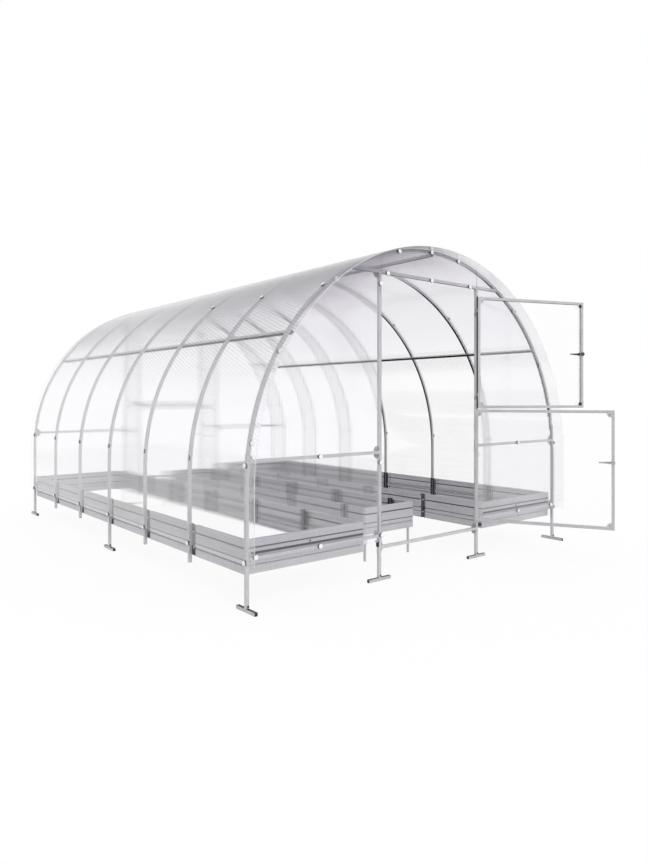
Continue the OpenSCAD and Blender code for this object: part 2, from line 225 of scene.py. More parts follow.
def zinc(name, bright, shade, rough, spangle=0.006, shaded=None, painted_shade_colour="#454548", painted_top_shade=False, splash=0.0):
    """Hot-dip zinc: frosted crystals a few millimetres wide under faint clouds, with painted shade where no
    light falls.
    """
    material, tree = new_material(name)
    point = add(tree, "TexCoord", output="Object")
    # crystals of `spangle` metres differ a little in tone, as frost on a bucket does
    crystals = add(tree, "TexVoronoi", {"Vector": point, "Scale": 1 / spangle}, output="Color")
    grain = add(tree, "SeparateColor", crystals)
    # clouding over hands' breadths
    cloud = add(tree, "TexNoise", {"Vector": point, "Scale": 9.0, "Detail": 5.0})
    grain_share = add(tree, "Math", grain, 0.35, operation="MULTIPLY")
    cloud_share = add(tree, "Math", cloud, 0.65, operation="MULTIPLY")
    tone = add(tree, "Math", grain_share, cloud_share, operation="ADD")
    lit = add(tree, "MapRange", tone, 0.3, 0.7)
    colour = add(tree, "Mix", lit, paint(shade), paint(bright), data_type="RGBA")
    roughness = add(tree, "MapRange", tone, 0.3, 0.7, rough + 0.08, rough - 0.06)
    metal, gleam = 0.35, 0.5
    # painted shade: the faces that the mask picks turn to the shade colour and lose their gleam
    if shaded:
        dim = shaded(tree)
        colour = add(tree, "Mix", dim, colour, paint(painted_shade_colour), data_type="RGBA")
        roughness = add(tree, "MapRange", dim, 0.0, 1.0, rough, 0.7)
        metal = add(tree, "MapRange", dim, 0.0, 1.0, metal, 0.0)
        gleam = add(tree, "MapRange", dim, 0.0, 1.0, gleam, 0.15)
    if painted_top_shade:
        # painted shade darkens what looks up
        colour = add(tree, "Mix", upward(tree), colour, paint("#3f3f3e"), data_type="RGBA")
    if splash:
        # dried soil specks that thin out over the lowest hand's breadth
        specks = add(tree, "TexNoise", {"Vector": point, "Scale": 260.0, "Detail": 3.0})
        height = add(tree, "SeparateXYZ", point, output="Z")
        level = add(tree, "MapRange", height, 0.0, splash, 0.56, 0.8)
        darkening = add(tree, "MapRange", add(tree, "Math", specks, level, operation="SUBTRACT"), 0.0, 0.06)
        darkening = add(tree, "Math", darkening, 0.5, operation="MULTIPLY")
        colour = add(tree, "Mix", darkening, colour, paint("#7d766c"), data_type="RGBA")
    # the crystals stand out a little, with a skin about 1 mm from crest to crest
    fine = add(tree, "TexNoise", {"Vector": point, "Scale": 900.0, "Detail": 2.0})
    grain_height = add(tree, "Math", grain, 0.6, operation="MULTIPLY")
    fine_height = add(tree, "Math", fine, 0.4, operation="MULTIPLY")
    relief = add(tree, "Math", grain_height, fine_height, operation="ADD")
    bump = add(tree, "Bump", {"Height": relief, "Strength": 0.12, "Distance": 0.0004})
    looks = {"Base Color": colour, "Roughness": roughness, "Metallic": metal, "Specular IOR Level": gleam}
    add(tree, "OutputMaterial", add(tree, "BsdfPrincipled", looks | {"Normal": bump}))
    return material


def satin_paint(name, body, worn):
    """Satin coating with a fine orange-peel skin, rubbed lighter in patches where hands reach it."""
    material, tree = new_material(name)
    point = add(tree, "TexCoord", output="Object")
    # rubbed patches about 18 mm wide
    rub = add(tree, "TexNoise", {"Vector": point, "Scale": 55.0, "Detail": 6.0, "Roughness": 0.6})
    bare = add(tree, "MapRange", rub, 0.52, 0.72)
    colour = add(tree, "Mix", bare, paint(body), paint(worn), data_type="RGBA")
    # orange peel about 1.5 mm from crest to crest
    peel = add(tree, "TexNoise", {"Vector": point, "Scale": 650.0, "Detail": 1.0})
    bump = add(tree, "Bump", {"Height": peel, "Strength": 0.2, "Distance": 0.0002})
    roughness = add(tree, "MapRange", rub, 0.3, 0.7, 0.48, 0.34)
    looks = {"Base Color": colour, "Roughness": roughness, "Metallic": 0.25, "Normal": bump}
    add(tree, "OutputMaterial", add(tree, "BsdfPrincipled", looks))
    return material


def board_coat():
    """Pale coated steel of the beds: soft sheen, faint rolling marks, drip stains, darker tops, painted shade
    underneath, grooves dark with dirt and painted shade.
    """
    material, tree = new_material("pale_coated_sheet_steel")
    point = add(tree, "TexCoord", output="Object")
    # rolling marks lie level, so the pattern is squeezed upright and drawn out along both sides
    squeezed = add(tree, "Mapping", {"Vector": point, "Scale": (1, 1, 60)})
    rolled = add(tree, "TexNoise", {"Vector": squeezed, "Scale": 2.2, "Detail": 5.0})
    lit = add(tree, "MapRange", rolled, 0.3, 0.7)
    colour = add(tree, "Mix", lit, paint("#c4c3c8"), paint("#d1d0d4"), data_type="RGBA")
    # drips hang from the upper edges: drawn out upright, a centimetre wide
    drawn = add(tree, "Mapping", {"Vector": point, "Scale": (1, 1, 0.12)})
    drip = add(tree, "TexNoise", {"Vector": drawn, "Scale": 70.0, "Detail": 3.0})
    stain = add(tree, "Math", add(tree, "MapRange", drip, 0.55, 0.8), 0.3, operation="MULTIPLY")
    colour = add(tree, "Mix", stain, colour, paint("#9b9a9f"), data_type="RGBA")
    # what looks up is darker, and what looks down gets painted shade
    darker_on_top = add(tree, "Math", upward(tree), 0.6, operation="MULTIPLY")
    colour = add(tree, "Mix", darker_on_top, colour, paint("#8d8c92"), data_type="RGBA")
    underside_shade = add(tree, "Math", downward(tree), 0.35, operation="MULTIPLY")
    colour = add(tree, "Mix", underside_shade, colour, paint("#5a595f"), data_type="RGBA")
    # dirt and painted shade fill the lower groove faintly and the upper one fully, about 5 mm to each side,
    # and the lap
    height = add(tree, "SeparateXYZ", point, output="Z")
    low_groove, high_groove = groove_heights
    dark_lines = ((low_groove, 0.0045, 0.05), (high_groove, 0.0055, 0.85), (lap_z, 0.0036, 0.9))
    for level, reach, depth in dark_lines:
        off = add(tree, "Math", add(tree, "Math", height, level, operation="SUBTRACT"), operation="ABSOLUTE")
        darkening = add(tree, "MapRange", off, reach, 0.6 * reach, 0.0, depth)
        colour = add(tree, "Mix", darkening, colour, paint("#504e54"), data_type="RGBA")
    # a skin about 2 mm from crest to crest
    peel = add(tree, "TexNoise", {"Vector": point, "Scale": 500.0, "Detail": 2.0})
    bump = add(tree, "Bump", {"Height": peel, "Strength": 0.1, "Distance": 0.0003})
    roughness = add(tree, "MapRange", rolled, 0.3, 0.7, 0.5, 0.38)
    looks = {"Base Color": colour, "Roughness": roughness, "Metallic": 0.35, "Normal": bump}
    add(tree, "OutputMaterial", add(tree, "BsdfPrincipled", looks))
    return material


# ---- clear sheet ----------------------------------------------------------------------------

RIB_PITCH = 0.010  # the webs between the two skins stand this far apart
RIPPLE_PITCH = 0.0226  # dried ripples on the roof, measured down its slope
RIPPLE_SLANT = 0.39  # how far the ripples climb for each metre along the house


def rib_wave(tree, across):
    """A wave over the ribs of twin-wall sheet, from -1 to 1."""
    point = add(tree, "TexCoord", output="Object")
    reach = add(tree, "VectorMath", point, across, operation="DOT_PRODUCT")
    turns = add(tree, "Math", reach, 2 * math.pi / RIB_PITCH, operation="MULTIPLY")
    return add(tree, "Math", turns, operation="SINE")


def under_hoop(tree):
    """How near a point of a gable lies to the top of its left shoulder, close under the hoop, from 0 to 1."""
    spot = from_spring(tree)
    x, z = (add(tree, "SeparateXYZ", spot, output=axis) for axis in "XZ")
    reach = add(tree, "VectorMath", add(tree, "CombineXYZ", {"X": x, "Z": z}), operation="LENGTH")
    near = add(tree, "MapRange", reach, hoop_outer - 0.28, hoop_outer - 0.06)
    high = add(tree, "Math", near, add(tree, "MapRange", z, 0.96, 1.1), operation="MULTIPLY")
    return add(tree, "Math", high, add(tree, "MapRange", x, 0.5, -0.1), operation="MULTIPLY")


def dried_ripples(tree, flat):
    """How far a point of the roof lies on a slanting ripple that drops dried in, from 0 to 1."""
    spot = from_spring(tree)
    x, y, z = (add(tree, "SeparateXYZ", spot, output=axis) for axis in "XYZ")
    slope = add(tree, "Math", add(tree, "Math", x, z, operation="ARCTAN2"), operation="ABSOLUTE")
    along = add(tree, "Math", y, RIPPLE_SLANT, operation="MULTIPLY")
    down = add(tree, "Math", slope, roof_outer, along, operation="MULTIPLY_ADD")
    turns = add(tree, "Math", down, 2 * math.pi / RIPPLE_PITCH, operation="MULTIPLY")
    crest = add(tree, "MapRange", add(tree, "Math", turns, operation="SINE"), 0.0, 0.9)
    # plainest in a band of the slope and on the free front edge
    over, under = add(tree, "MapRange", flat, 0.35, 0.55), add(tree, "MapRange", flat, 0.85, 0.75)
    band = add(tree, "Math", add(tree, "Math", over, under, operation="MULTIPLY"), 0.35, operation="MULTIPLY")
    edge = add(tree, "MapRange", y, -0.01, -0.02, 0.0, 0.16)
    return add(tree, "Math", crest, add(tree, "Math", band, edge, operation="MAXIMUM"), operation="MULTIPLY")


def clear_sheet(name, across, lean, blur, skins=("#fefefe", "#fbfbfc"), vault=False, shaded_by=None):
    """Clear twin-wall sheet: glossy skins over ribs that smear what stands behind, greyed by painted shade
    under the hoop or towards the crown.
    """
    material, tree = new_material(name)
    # the webs bend the skins a little, both ways alike
    wave = rib_wave(tree, across)
    back = add(tree, "NewGeometry", output="Backfacing")
    side = add(tree, "Math", back, -2.0, 1.0, operation="MULTIPLY_ADD")
    tip = add(tree, "Math", add(tree, "Math", wave, side, operation="MULTIPLY"), lean, operation="MULTIPLY")
    tilt = add(tree, "VectorMath", across, tip, operation="SCALE")
    tilt = add(tree, "VectorTransform", tilt, vector_type="VECTOR", convert_from="OBJECT", convert_to="WORLD")
    normal = add(tree, "VectorMath", add(tree, "NewGeometry", output="Normal"), tilt, operation="ADD")
    normal = add(tree, "VectorMath", normal, operation="NORMALIZE")
    ribs = add(tree, "MapRange", wave, 0.4, 1.0)
    colour = add(tree, "Mix", ribs, paint(skins[0]), paint(skins[1]), data_type="RGBA")
    roughness = blur
    if shaded_by:
        # painted shade greys the gable close under the left shoulder of the hoop
        colour = add(tree, "Mix", shaded_by(tree), colour, paint("#d9d6dc"), data_type="RGBA")
    if vault:
        # painted shade greys the skins towards the crown, and dried drops grey them in ripples
        flat = add(tree, "Math", facing(tree, "Z"), operation="ABSOLUTE")
        crown = add(tree, "MapRange", flat, 0.5, 0.85)
        colour = add(tree, "Mix", crown, colour, paint("#edecf0"), data_type="RGBA")
        colour = add(tree, "Mix", dried_ripples(tree, flat), colour, paint("#d3d2d6"), data_type="RGBA")
        roughness = add(tree, "MapRange", crown, 0.3, 1.0, blur, 0.12)
    looks = {"Base Color": colour, "Roughness": roughness, "Transmission Weight": 1.0, "IOR": 1.58}
    glass = add(tree, "BsdfPrincipled", looks | {"Specular IOR Level": 0.6, "Normal": normal})
    # lamps reach what stands inside: light passes the sheet with a slight loss
    through = add(tree, "BsdfTransparent", {"Color": (0.93, 0.93, 0.95, 1)})
    shadow = add(tree, "LightPath", output="Is Shadow Ray")
    add(tree, "OutputMaterial", add(tree, "MixShader", shadow, glass, through))
    return material


def cut_edge_coat():
    """The sawn edge of twin-wall sheet: milky, with the open cells between the webs a little darker."""
    material, tree = new_material("milky_cut_edge_of_sheet")
    point = add(tree, "TexCoord", output="Object")
    # one open cell for each web, along all three ways
    milky, open_cell = paint("#efeef2"), paint("#e2e0e6")
    cells = add(tree, "TexChecker", point, milky, open_cell, 1 / RIB_PITCH)
    add(tree, "OutputMaterial", add(tree, "BsdfPrincipled", {"Base Color": cells, "Roughness": 0.5}))
    return material


def moulded(name, body, rough, sheen=0.04):
    """Moulded plastic or rubber with a fine skin and faint patches of handling."""
    material, tree = new_material(name)
    point = add(tree, "TexCoord", output="Object")
    # patches about 8 mm wide
    patch = add(tree, "TexNoise", {"Vector": point, "Scale": 120.0, "Detail": 3.0})
    handled = (*(min(1, part + sheen) for part in paint(body)[:3]), 1)
    worn = add(tree, "MapRange", patch, 0.35, 0.7)
    colour = add(tree, "Mix", worn, paint(body), handled, data_type="RGBA")
    # a skin about 1.7 mm from crest to crest
    skin = add(tree, "TexNoise", {"Vector": point, "Scale": 600.0, "Detail": 2.0})
    bump = add(tree, "Bump", {"Height": skin, "Strength": 0.15, "Distance": 0.0002})
    roughness = add(tree, "MapRange", patch, 0.35, 0.7, rough, rough + 0.1)
    looks = {"Base Color": colour, "Roughness": roughness, "Normal": bump}
    add(tree, "OutputMaterial", add(tree, "BsdfPrincipled", looks))
    return material


# ---- finishes of the CAD pieces -------------------------------------------------------------

finishes = {
    # the shade colour given to a zinc is painted on the faces its mask picks
    "hoop_steel": zinc(
        "zinc_on_bent_hoops", "#d6d6d9", "#c2c2c6", 0.36, shaded=inward_shade, painted_shade_colour="#232325", splash=0.12
    ),
    "rail_steel": zinc(
        "zinc_on_straight_bars", "#d8d8da", "#c6c6c9", 0.34, shaded=downward, painted_shade_colour="#84848a", splash=0.12
    ),
    "foot_steel": zinc(
        "zinc_on_ground_feet", "#d0d0d2", "#b9b9bb", 0.42, shaded=downward, painted_top_shade=True, splash=0.09
    ),
    "leaf_steel": zinc("zinc_on_door_bars", "#cccccf", "#bababd", 0.35, shaded=downward),
    "clamp_steel": zinc("zinc_on_pressed_clamps", "#c6c6ca", "#adadb2", 0.45, spangle=0.004),
    "hinge_steel": zinc("zinc_on_hinges", "#b8b8bc", "#9c9ca1", 0.38, spangle=0.003),
    # the bed brackets are painted dark as the shade of their recess, darkest on their flanks
    "bracket_steel": zinc(
        "zinc_painted_dark_with_shade_on_bed_brackets", "#7c7b80", "#626166", 0.5, spangle=0.004, shaded=sideways, painted_shade_colour="#38373b"
    ),
    "stake_steel": zinc("zinc_on_stakes", "#d2d2d4", "#bebec1", 0.4, splash=0.12),
    "latch_metal": satin_paint("dark_satin_latches", "#3b3b3e", "#6a6a6e"),
    "bed_steel": board_coat(),
}
# the purlins lie in the dusk under the roof and get a darker painted shade on their undersides, and hands
# wear the lower latch
purlin_steel = zinc("zinc_on_purlins", "#d8d8da", "#c6c6c9", 0.34, shaded=downward, painted_shade_colour="#2f2f31")
own_finishes = {name: purlin_steel for name in nodes if "purlin" in name}
own_finishes["lower_latch"] = satin_paint("worn_grey_latch", "#b2b1b4", "#cbcacc")
for name, piece in nodes.items():
    slot = piece.material_slots[0]
    if slot.material.name in finishes:
        slot.material = own_finishes.get(name, finishes[slot.material.name])


def leaf_ways(latch):
    """From the latch's axis: the way out of a leaf's outer face, and the way from hinges to free edge."""
    out = Vector(joints[latch]["axis"]).normalized()
    return out, Vector((out.y, -out.x, 0))


lower_out, lower_along = leaf_ways("lower_latch_turn")
upper_out, upper_along = leaf_ways("upper_latch_turn")
cut_edge = cut_edge_coat()
gable_sheet = clear_sheet(
    "clear_twin_wall_on_gables", (1, 0, 0), 0.012, 0.03, ("#fefdff", "#fbfafd"), shaded_by=under_hoop
)
roof_sheet = clear_sheet("clear_twin_wall_on_roof", (0, 1, 0), 0.01, 0.02, vault=True)
sheets = {
    "roof_sheet_front": roof_sheet,
    "roof_sheet_rear": roof_sheet,
    "front_left_sheet": gable_sheet,
    "front_right_sheet": gable_sheet,
    "front_top_sheet": gable_sheet,
    "rear_gable_sheets": gable_sheet,
    "rear_leaf_sheets": gable_sheet,
    "lower_leaf_sheet": clear_sheet("clear_twin_wall_on_lower_leaf", lower_along, 0.003, 0.012),
    "upper_leaf_sheet": clear_sheet("clear_twin_wall_on_upper_leaf", upper_along, 0.003, 0.012),
}

white_cap = moulded("white_moulded_caps", "#fafafb", 0.35)
gasket_rubber = moulded("dark_gasket_rubber", "#2a2a2c", 0.6, sheen=0.01)
black_plastic = moulded("black_moulded_ends", "#1c1c1e", 0.4, sheen=0.01)
# dark rubber for the strip that stands in for the shade along the hinge edges
seal_rubber = moulded("dark_seal_rubber", "#4c4c50", 0.55, sheen=0.02)
bolt_zinc = zinc("zinc_on_bolts", "#c9c9cd", "#a5a5aa", 0.3, spangle=0.002)
dark_screw = satin_paint("blackened_screw_heads", "#2c2c2e", "#5c5c60")

# ---- modelling helpers ----------------------------------------------------------------------


def drop_selection():
    bpy.ops.object.select_all(action="DESELECT")


def pick_faces(piece, test):
    """Selects the faces of the piece in edit mode that pass a test of their centre and normal."""
    mesh = bmesh.from_edit_mesh(piece.data)
    bpy.ops.mesh.select_all(action="DESELECT")
    bpy.ops.mesh.select_mode(type="FACE")
    for face in mesh.faces:
        if test(face.calc_center_median(), face.normal):
            face.select = True
    mesh.select_flush_mode()
    bmesh.update_edit_mesh(piece.data)


def start(kind, **size):
    """A primitive to shape, alone in the selection and in edit mode."""
    drop_selection()
    getattr(bpy.ops.mesh, f"primitive_{kind}_add")(**size)
    piece = bpy.context.object
    bpy.ops.object.transform_apply(location=True, rotation=True, scale=True)
    bpy.ops.object.mode_set(mode="EDIT")
    return piece


def start_block(low, high):
    """A block between two corners to shape."""
    low, high = Vector(low), Vector(high)
    return start("cube", size=1, location=(low + high) / 2, scale=high - low)


def step_top(piece, *steps):
    """Draws the top face in by steps, each an inset and a rise."""
    pick_faces(piece, lambda c, n: n.z > 0.9)
    for inset, rise in steps:
        bpy.ops.mesh.inset(thickness=inset)
        bpy.ops.transform.translate(value=(0, 0, rise))


def stop(piece, coat, smooth=35):
    """Leaves edit mode, gives the coat and smooths what is nearly flat."""
    bpy.ops.object.mode_set(mode="OBJECT")
    piece.data.materials.clear()
    piece.data.materials.append(coat)
    bpy.ops.object.shade_smooth_by_angle(angle=math.radians(smooth))


def soften(piece, width, segments=2):
    """A bevel on the sharp edges, applied."""
    bevel = piece.modifiers.new("edge", "BEVEL")
    bevel.width = width
    bevel.segments = segments
    bevel.limit_method = "ANGLE"
    bpy.context.view_layer.objects.active = piece
    bpy.ops.object.modifier_apply(modifier=bevel.name)


def gather(pieces, name):
    """Joins pieces into one and names it."""
    drop_selection()
    for piece in pieces:
        piece.select_set(True)
    bpy.context.view_layer.objects.active = pieces[0]
    if len(pieces) > 1:
        bpy.ops.object.join()
    pieces[0].name = name
    pieces[0].data.name = name
    return pieces[0]


def set_out(model, spots, name, body="frame"):
    """Copies of a model at spots (place, way out), joined into one piece that rides on a body."""
    copies = []
    for spot, out in spots:
        copy = model.copy()
        copy.data = model.data.copy()
        scene.collection.objects.link(copy)
        turn = Vector(out).to_track_quat("Z", "Y").to_matrix().to_4x4()
        copy.data.transform(Matrix.Translation(spot) @ turn)
        copies.append(copy)
    made = gather(copies, name)
    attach(made, body)
    return made


def put_away(*models):
    for model in models:
        bpy.data.objects.remove(model)


def merged_copy(node, name):
    """A copy of a CAD node with its doubled points merged, selected and in edit mode."""
    made = bpy.data.objects.new(name, nodes[node].data.copy())
    scene.collection.objects.link(made)
    drop_selection()
    made.select_set(True)
    bpy.context.view_layer.objects.active = made
    bpy.ops.object.mode_set(mode="EDIT")
    bpy.ops.mesh.select_all(action="SELECT")
    bpy.ops.mesh.customdata_custom_splitnormals_clear()
    bpy.ops.mesh.remove_doubles(threshold=0.00002)
    return made


def span(node, way):
    """How far a CAD piece reaches along a way."""
    reach = [way.dot(v.co) for v in nodes[node].data.vertices]
    return min(reach), max(reach)


# ---- panes ----------------------------------------------------------------------------------

AIR_GAP = 0.0004  # between a sheet and its bars


def pane(node, coat, through):
    """The clear sheet of a CAD node, with pale cut edges; without a way through, it lies over the barrel."""
    made = merged_copy(node, f"{node}_pane")
    bpy.ops.mesh.mark_sharp(clear=True)
    bpy.ops.transform.shrink_fatten(value=-AIR_GAP, use_even_offset=True)
    if coat == gable_sheet and "leaf" not in node:
        # above the top rail the sheets meet without a gap
        bpy.ops.mesh.select_all(action="SELECT")
        bpy.ops.mesh.bisect(plane_co=(0, 0, top_rail_z), plane_no=(0, 0, 1))
        pick_faces(made, lambda c, n: abs(n.x) > 0.95 and c.z > top_rail_z)
        mesh = bmesh.from_edit_mesh(made.data)
        ends = [face for face in mesh.faces if face.select]
        seams = {point: math.copysign(AIR_GAP, face.normal.x) for face in ends for point in face.verts}
        for point, way in seams.items():
            if point.co.z > top_rail_z + AIR_GAP:
                point.co.x += way
        bmesh.update_edit_mesh(made.data)
        bpy.ops.mesh.delete(type="ONLY_FACE")
    stop(made, coat, smooth=12)
    made.data.materials.append(cut_edge)
    # the cut edges are the faces that do not look through the sheet
    for face in made.data.polygons:
        spoke = Vector((face.center.x - centre_x, 0, max(face.center.z - spring_z, 0))).normalized()
        if abs(face.normal.dot(through or spoke)) < 0.5:
            face.material_index = 1
    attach(made, nodes[node]["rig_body"])
    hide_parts(node)


for name, coat in sheets.items():
    leaf_out = {"lower_leaf_sheet": lower_out, "upper_leaf_sheet": upper_out}.get(name, Vector((0, 1, 0)))
    pane(name, coat, None if coat == roof_sheet else leaf_out)

# ---- boards of the beds ---------------------------------------------------------------------

SEAM_REACH = 0.012  # the edges of both boards lie within this of the seam


def lapped_boards(node):
    """A bed whose upper boards reach further down than its lower ones reach up."""
    made = merged_copy(node, f"{node}_boards")
    bpy.ops.mesh.select_all(action="DESELECT")
    mesh = bmesh.from_edit_mesh(made.data)
    for point in mesh.verts:
        point.select = abs(point.co.z - seam_z) < SEAM_REACH
    bmesh.update_edit_mesh(made.data)
    bpy.ops.transform.translate(value=(0, 0, -SEAM_DROP))
    stop(made, finishes["bed_steel"], smooth=20)
    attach(made, "frame")
    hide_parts(node)


for name in ("left_bed", "centre_bed", "right_bed"):
    lapped_boards(name)

# ---- domed sheet washers --------------------------------------------------------------------


def washer_model(thick):
    """A white domed cap over a dark rubber ring, as holds clear sheet to a bar; it stands on z 0."""
    ring = start("cylinder", vertices=24, radius=0.0148, depth=thick, location=(0, 0, thick / 2))
    stop(ring, gasket_rubber)
    soften(ring, 0.0008)
    cap = start("cylinder", vertices=24, radius=0.0145, depth=0.0025, location=(0, 0, thick + 0.001))
    step_top(cap, (0.003, 0.0016), (0.0045, 0.0012), (0.0035, 0.0003))
    bpy.ops.mesh.poke()
    stop(cap, white_cap, smooth=50)
    soften(cap, 0.0006)
    return gather([ring, cap], "washer_model")


def arch_spot(angle, radius, y):
    """A point of the barrel by its angle from the crown, and the way out there."""
    turn = math.radians(angle)
    out = Vector((math.sin(turn), 0, math.cos(turn)))
    return Vector((centre_x, y, spring_z)) + radius * out, out


# places of the washers: angles are degrees from the crown, and small offsets are metres off a bar's middle
EAVE_ANGLE = 85.7
ROOF_ANGLE = 39.3
WALL_WASHER_Z = roof_low.z + 0.008
QUARTER_X = 0.505  # from the side of the house
FRONT_ANGLES = (-80.9, -59.7, -35.7, -12.6, -0.4, 10.5, 38.5, 59.7, 74.5)
TOP_RAIL_OFFSETS = (-0.433, -0.012, 0.402)
washer, thick_washer = washer_model(0.005), washer_model(0.0075)
side_spots = []
for y in hoop_y:
    for side in (-1, 1):
        side_spots.append(arch_spot(side * EAVE_ANGLE, roof_outer, y))
        side_spots.append((Vector((centre_x + side * roof_outer, y, WALL_WASHER_Z)), (side, 0, 0)))
set_out(washer, side_spots, "side_washers")
set_out(
    washer,
    [arch_spot(side * ROOF_ANGLE, roof_outer, y) for y in hoop_y[:3] for side in (-1, 1)],
    "roof_washers",
)


def gable_spots(y, way):
    """Where washers hold the sheets of a gable; way is -1 in front and 1 on the rear, its mirror image."""
    flat = [arch_spot(angle, hoop_outer - 0.75 * tube, y)[0] for angle in FRONT_ANGLES]
    flat += [Vector((centre_x + x, y, top_rail_z - 0.3 * tube)) for x in TOP_RAIL_OFFSETS]
    for side, post in door_posts:
        flat += [Vector((post + 0.003 * side, y, z)) for z in (top_rail_z - 0.079, mid_rail_z - 0.065)]
        flat.append(Vector((post - 0.007 * side, y, base_rail_z + 0.003)))
        quarter = centre_x + side * (centre_x - QUARTER_X)
        flat += [Vector((quarter, y, z)) for z in (mid_rail_z, base_rail_z + 0.004)]
        flat.append(Vector((centre_x + side * (hoop_outer - 0.058), y, base_rail_z + 0.006)))
    return [(spot, (0, way, 0)) for spot in flat]


set_out(thick_washer, gable_spots(front_sheet_y, -1), "front_gable_washers")
set_out(thick_washer, gable_spots(rear_sheet_y, 1), "rear_gable_washers")
put_away(washer, thick_washer)

# ---- bolts of the clamps --------------------------------------------------------------------


def bolt_model():
    """A hexagon bolt with a flat washer; its head stands on z 0 and its nut hangs under the 2 mm plate."""
    disc = start("cylinder", vertices=20, radius=0.0068, depth=0.0014, location=(0, 0, 0.0007))
    stop(disc, bolt_zinc)
    soften(disc, 0.0003, 1)
    head = start("cylinder", vertices=6, radius=0.0058, depth=0.004, location=(0, 0, 0.0034))
    step_top(head, (0.0009, 0.0005))
    stop(head, bolt_zinc, smooth=20)
    nut = start("cylinder", vertices=6, radius=0.0058, depth=0.0045, location=(0, 0, -0.00425))
    pick_faces(nut, lambda c, n: n.z < -0.9)
    bpy.ops.mesh.inset(thickness=0.0022)
    bpy.ops.mesh.extrude_region_move(TRANSFORM_OT_translate={"value": (0, 0, -0.002)})
    stop(nut, bolt_zinc, smooth=20)
    return gather([disc, head, nut], "bolt_model")


LOBE_BOLT = 0.012  # from the face of a tube to the bolt in a clamp's lobe
# how far the legs already bend inwards at the height of the mid rail
leg_lean = hoop_outer - half - math.sqrt((hoop_outer - half) ** 2 - (mid_rail_z - spring_z) ** 2)


def clamp_spots(plate_y, way):
    """Bolt places in the lobes of the clamps of one gable."""
    reach = half + LOBE_BOLT
    spots = []
    left_edge, right_edge = centre_x - hoop_outer + half, centre_x + hoop_outer - half
    for z in (mid_rail_z, base_rail_z):
        lean = leg_lean if z > spring_z else 0
        for up in (-1, 1):
            spots += [(left_edge + lean + reach, z + up * reach), (right_edge - lean - reach, z + up * reach)]
    for side, post in door_posts:
        for up in (-1, 1):
            spots.append((post + side * reach, mid_rail_z + up * reach))
            spots.append((post - side * reach, threshold_z + up * reach))
        spots.append((post + side * reach, base_rail_z + reach))
    return [(Vector((x, plate_y, z)), (0, way, 0)) for x, z in spots]


POST_RING_OUT = 0.028  # from the face of a door post
LEG_RING_X = 0.018  # from the side of the house


def ring_model():
    """A light ring washer round a sunk screw, as tacks a sheet beside a post."""
    ring = start("cylinder", vertices=20, radius=0.0098, depth=0.0022, location=(0, 0, 0.0011))
    step_top(ring, (0.0042, -0.0008))
    stop(ring, bolt_zinc)
    soften(ring, 0.0004, 1)
    screw = start("cylinder", vertices=12, radius=0.0046, depth=0.003, location=(0, 0, 0.0012))
    stop(screw, bolt_zinc)
    soften(screw, 0.0006, 1)
    return gather([ring, screw], "ring_model")


def ring_spots(y, way):
    """Places of the ring washers over and under the base rail beside the posts, and low beside the legs."""
    heights = (base_rail_z + 0.039, base_rail_z - 0.029)
    spots = [(post + side * (half + POST_RING_OUT), z) for side, post in door_posts for z in heights]
    spots += [(centre_x + side * (centre_x - LEG_RING_X), base_rail_z - 0.016) for side in (-1, 1)]
    return [(Vector((x, y, z)), (0, way, 0)) for x, z in spots]


ring = ring_model()
set_out(ring, ring_spots(front_sheet_y, -1), "front_ring_bolts")
set_out(ring, ring_spots(rear_sheet_y, 1), "rear_ring_bolts")
put_away(ring)

bolt = bolt_model()
set_out(bolt, clamp_spots(front_plate_y, 1), "front_clamp_bolts")
set_out(bolt, clamp_spots(rear_plate_y, -1), "rear_clamp_bolts")

# ---- bolts, tabs and corner plates of the beds ----------------------------------------------


def dome_model():
    """A light domed bolt head over the groove of a bracket."""
    dome = start("cylinder", vertices=14, radius=0.0065, depth=0.006, location=(0, 0, 0.001))
    step_top(dome, (0.002, 0.0014), (0.0025, 0.0005))
    stop(dome, bolt_zinc, smooth=60)
    return gather([dome], "dome_model")


def ear_model():
    """A short dark tab bent out of a bracket at the lap of the boards."""
    ear = start("cube", size=1, location=(0, 0, 0.001), scale=(0.016, 0.022, 0.002))
    step_top(ear, (0.003, 0.0015))
    stop(ear, dark_screw)
    soften(ear, 0.0006, 1)
    return gather([ear], "ear_model")


